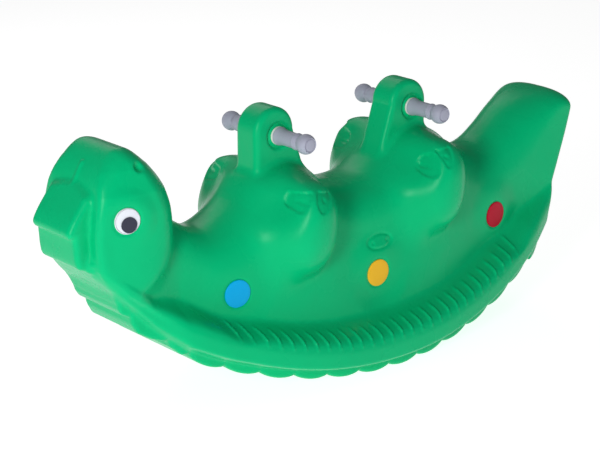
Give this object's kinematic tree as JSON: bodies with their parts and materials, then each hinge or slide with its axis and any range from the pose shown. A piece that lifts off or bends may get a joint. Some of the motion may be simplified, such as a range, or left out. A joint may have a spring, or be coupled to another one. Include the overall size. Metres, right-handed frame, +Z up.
{
  "type": "rocking seesaw",
  "caption": "Long hollow plastic crocodile that rocks on a curved scalloped belly, with saddles, ribbed foot ledges and crosswise handlebars on posts.",
  "frame": {"origin": "bottom centre of the whole seesaw's box, on the floor under the middle of its length", "axes": "+X from the snout to the tail, +Y to the rider's right, +Z up; the seesaw rests level on two scallops of its belly"},
  "size_m": [1.2, 0.376, 0.509],
  "materials": {
    "green_plastic": "satin moulded polyethylene",
    "steel_tube": "drawn tube",
    "white_sleeve": "moulded nylon",
    "grey_grip": "satin moulded grip",
    "eye_white": "smooth plastic disc",
    "pupil_dark": "smooth plastic disc",
    "blue_disc": "smooth plastic disc",
    "yellow_disc": "smooth plastic disc",
    "red_disc": "smooth plastic disc"
  },
  "bodies": {
    "rocker_body": {"body_shell": "green_plastic", "front_left_bush": "white_sleeve", "front_right_bush": "white_sleeve", "rear_left_bush": "white_sleeve", "rear_right_bush": "white_sleeve", "left_eye": "eye_white", "right_eye": "eye_white", "left_pupil": "pupil_dark", "right_pupil": "pupil_dark", "left_blue_spot": "blue_disc", "right_blue_spot": "blue_disc", "left_yellow_spot": "yellow_disc", "right_yellow_spot": "yellow_disc", "left_red_spot": "red_disc", "right_red_spot": "red_disc", "filler_plug": "green_plastic"},
    "front_handlebar": {"front_bar": "steel_tube", "front_left_grip": "grey_grip", "front_right_grip": "grey_grip", "front_left_cap": "grey_grip", "front_right_cap": "grey_grip"},
    "rear_handlebar": {"rear_bar": "steel_tube", "rear_left_grip": "grey_grip", "rear_right_grip": "grey_grip", "rear_left_cap": "grey_grip", "rear_right_cap": "grey_grip"}
  },
  "joints": [
    {"name": "front_bar_turn", "type": "hinge", "parent": "rocker_body", "child": "front_handlebar", "pos_m": [-0.128, 0, 0.455], "axis": [0, 1, 0], "continuous": true},
    {"name": "rear_bar_turn", "type": "hinge", "parent": "rocker_body", "child": "rear_handlebar", "pos_m": [0.202, 0, 0.455], "axis": [0, 1, 0], "continuous": true}
  ]
}
